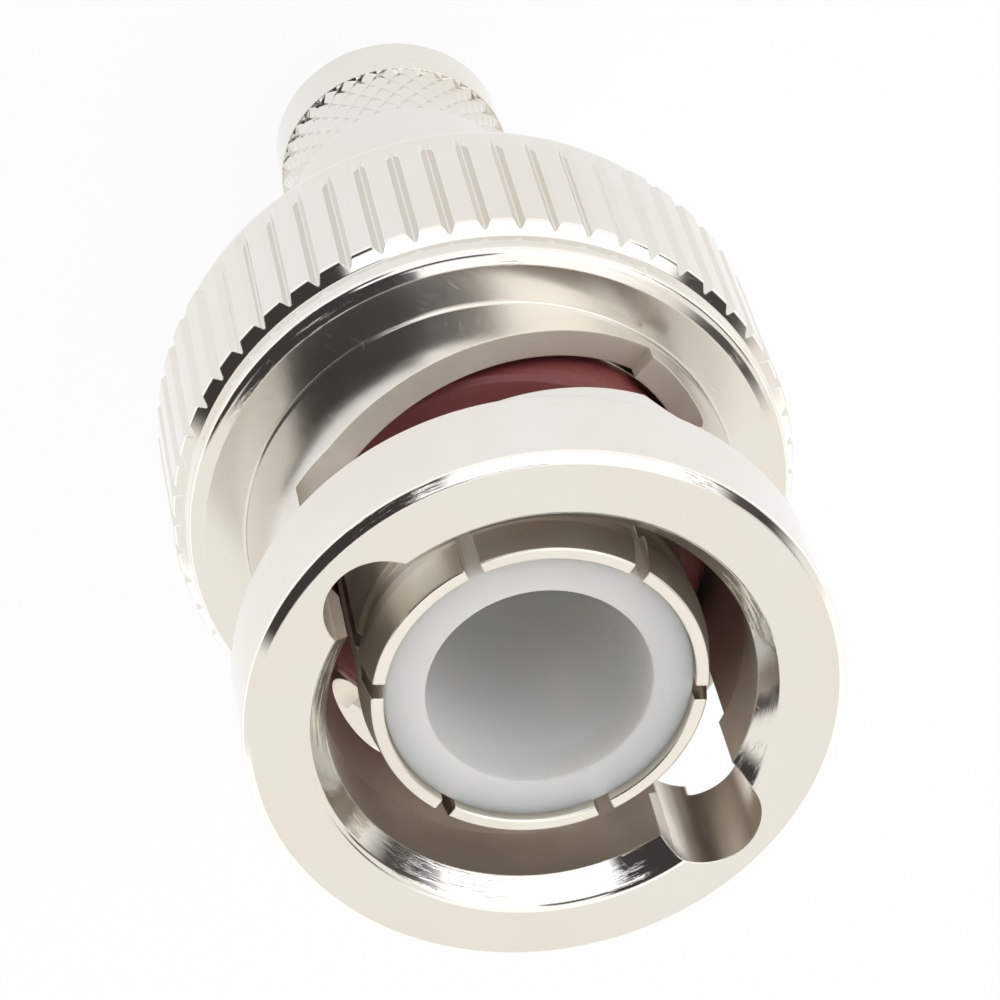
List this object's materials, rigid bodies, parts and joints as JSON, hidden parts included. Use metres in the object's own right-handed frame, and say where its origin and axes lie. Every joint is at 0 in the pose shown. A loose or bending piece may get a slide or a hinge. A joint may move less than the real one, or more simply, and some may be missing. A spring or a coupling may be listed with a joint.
{
  "type": "bnc connector",
  "caption": "Bayonet coaxial cable plug: turned body with a knurled crimp stem, slotted ground contact and a spring-loaded coupling nut with helical slots and a fluted grip.",
  "frame": {"origin": "centre of the crimp stem's rear end face, which the connector stands on", "axes": "+Z along the connector's axis in the mating direction, towards the coupling nut's open face"},
  "size_m": [0.015, 0.015, 0.0274],
  "materials": {
    "nickel_plated_brass": "bright nickel plating",
    "contact_metal": "bright nickel plating",
    "spring_steel": "bright rolled strip",
    "dielectric": "pale grey-white, satin",
    "silicone": "dark red, matt"
  },
  "bodies": {
    "plug": {"plug_body": "nickel_plated_brass", "ground_contact": "contact_metal", "insulator": "dielectric", "gasket": "silicone", "wave_washer_front": "spring_steel", "wave_washer_rear": "spring_steel"},
    "washer": {"thrust_washer": "spring_steel"},
    "nut": {"coupling_nut": "nickel_plated_brass", "retaining_ring": "spring_steel"}
  },
  "joints": [
    {"name": "nut_slide", "type": "slide", "parent": "plug", "child": "washer", "axis": [0, 0, 1], "range_m": [0, 0.0005], "stiffness_N_per_m": 2000, "springref_m": -0.0005, "deforming": ["wave_washer_front", "wave_washer_rear"]},
    {"name": "nut_turn", "type": "hinge", "parent": "washer", "child": "nut", "pos_m": [0, 0, 0.02], "axis": [0, 0, 1], "continuous": true}
  ]
}
